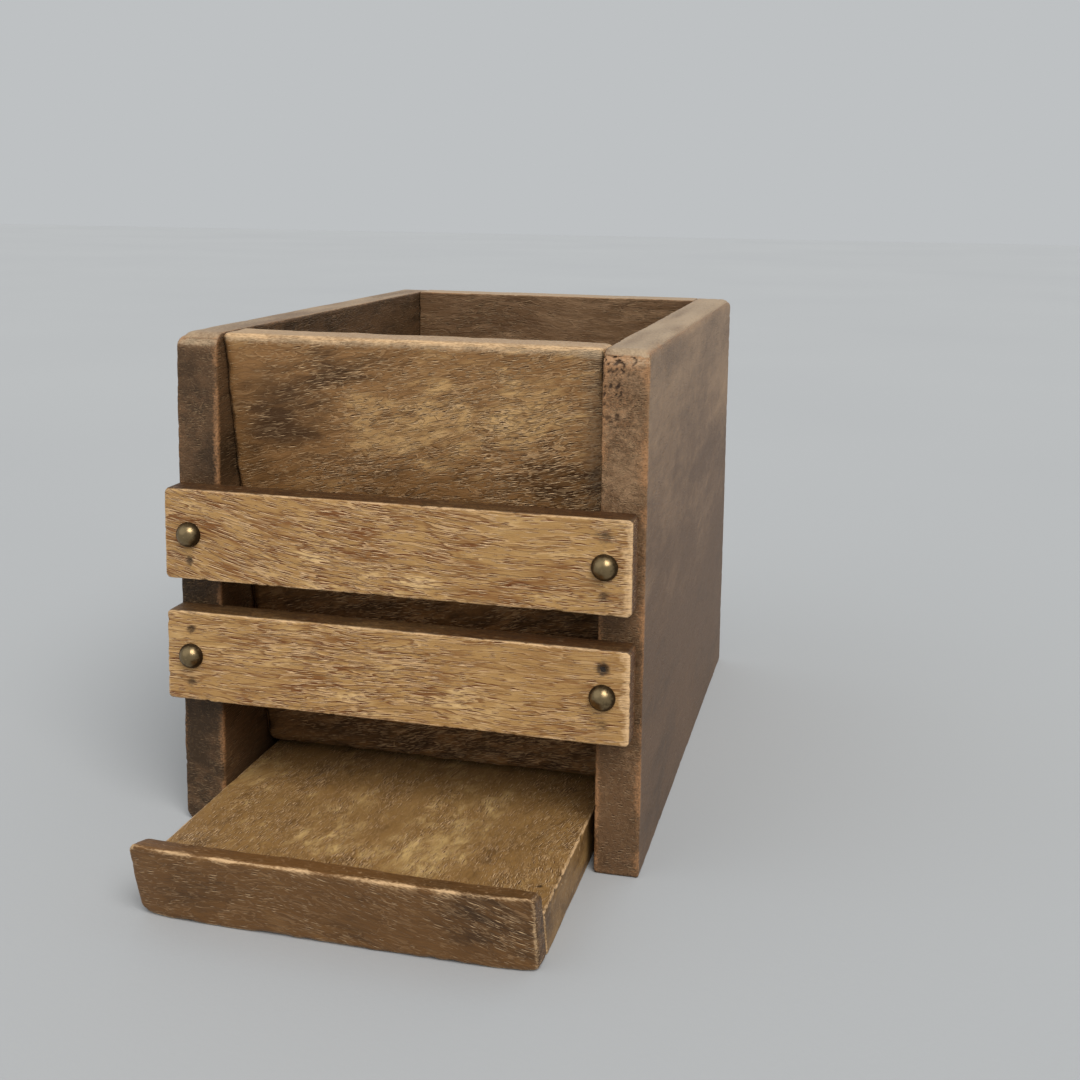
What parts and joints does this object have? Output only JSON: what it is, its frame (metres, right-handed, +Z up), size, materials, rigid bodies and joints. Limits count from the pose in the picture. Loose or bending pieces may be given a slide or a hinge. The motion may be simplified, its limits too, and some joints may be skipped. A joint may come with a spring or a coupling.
{
  "type": "pen stand with drawer",
  "caption": "Open-topped wooden pen box with a sloping front board, two slats nailed across the front and a low lipped drawer board under it.",
  "frame": {"origin": "on the desk, at the centre of the stand's whole footprint with the drawer standing 56.5 mm out", "axes": "+Z up from the desk; +Y from the drawer's lip to the back board; +X to the right seen from the front"},
  "size_m": [0.102, 0.184, 0.109],
  "materials": {
    "side_wood": "dark walnut stain over close-grained hardwood, waxed, worn lighter on the edges",
    "back_wood": "walnut stain, waxed",
    "sloping_wood": "mottled walnut stain with wavy grain, waxed",
    "floor_wood": "walnut stain, unpolished",
    "slat_wood": "light golden-brown stain with short dark pores, waxed",
    "drawer_wood": "golden olive-brown stain with light flecks, waxed",
    "lip_wood": "reddish dark-brown stain, worn light along the top",
    "aged_brass": "antique brass, dark at the rim and rubbed bright on the crown",
    "brad_steel": "blackened wire"
  },
  "bodies": {
    "carcass": {"left_side_board": "side_wood", "right_side_board": "side_wood", "back_board": "back_wood", "sloping_front_board": "sloping_wood", "pen_well_floor": "floor_wood", "upper_slat": "slat_wood", "lower_slat": "slat_wood", "upper_left_dome_nail": "aged_brass", "upper_right_dome_nail": "aged_brass", "lower_left_dome_nail": "aged_brass", "lower_right_dome_nail": "aged_brass", "upper_slat_brads": "brad_steel", "lower_slat_brads": "brad_steel"},
    "drawer": {"drawer_board": "drawer_wood", "drawer_lip": "lip_wood"}
  },
  "joints": [
    {"name": "drawer_slide", "type": "slide", "parent": "carcass", "child": "drawer", "axis": [0, -1, 0], "range_m": [-0.0565, 0.03]}
  ]
}
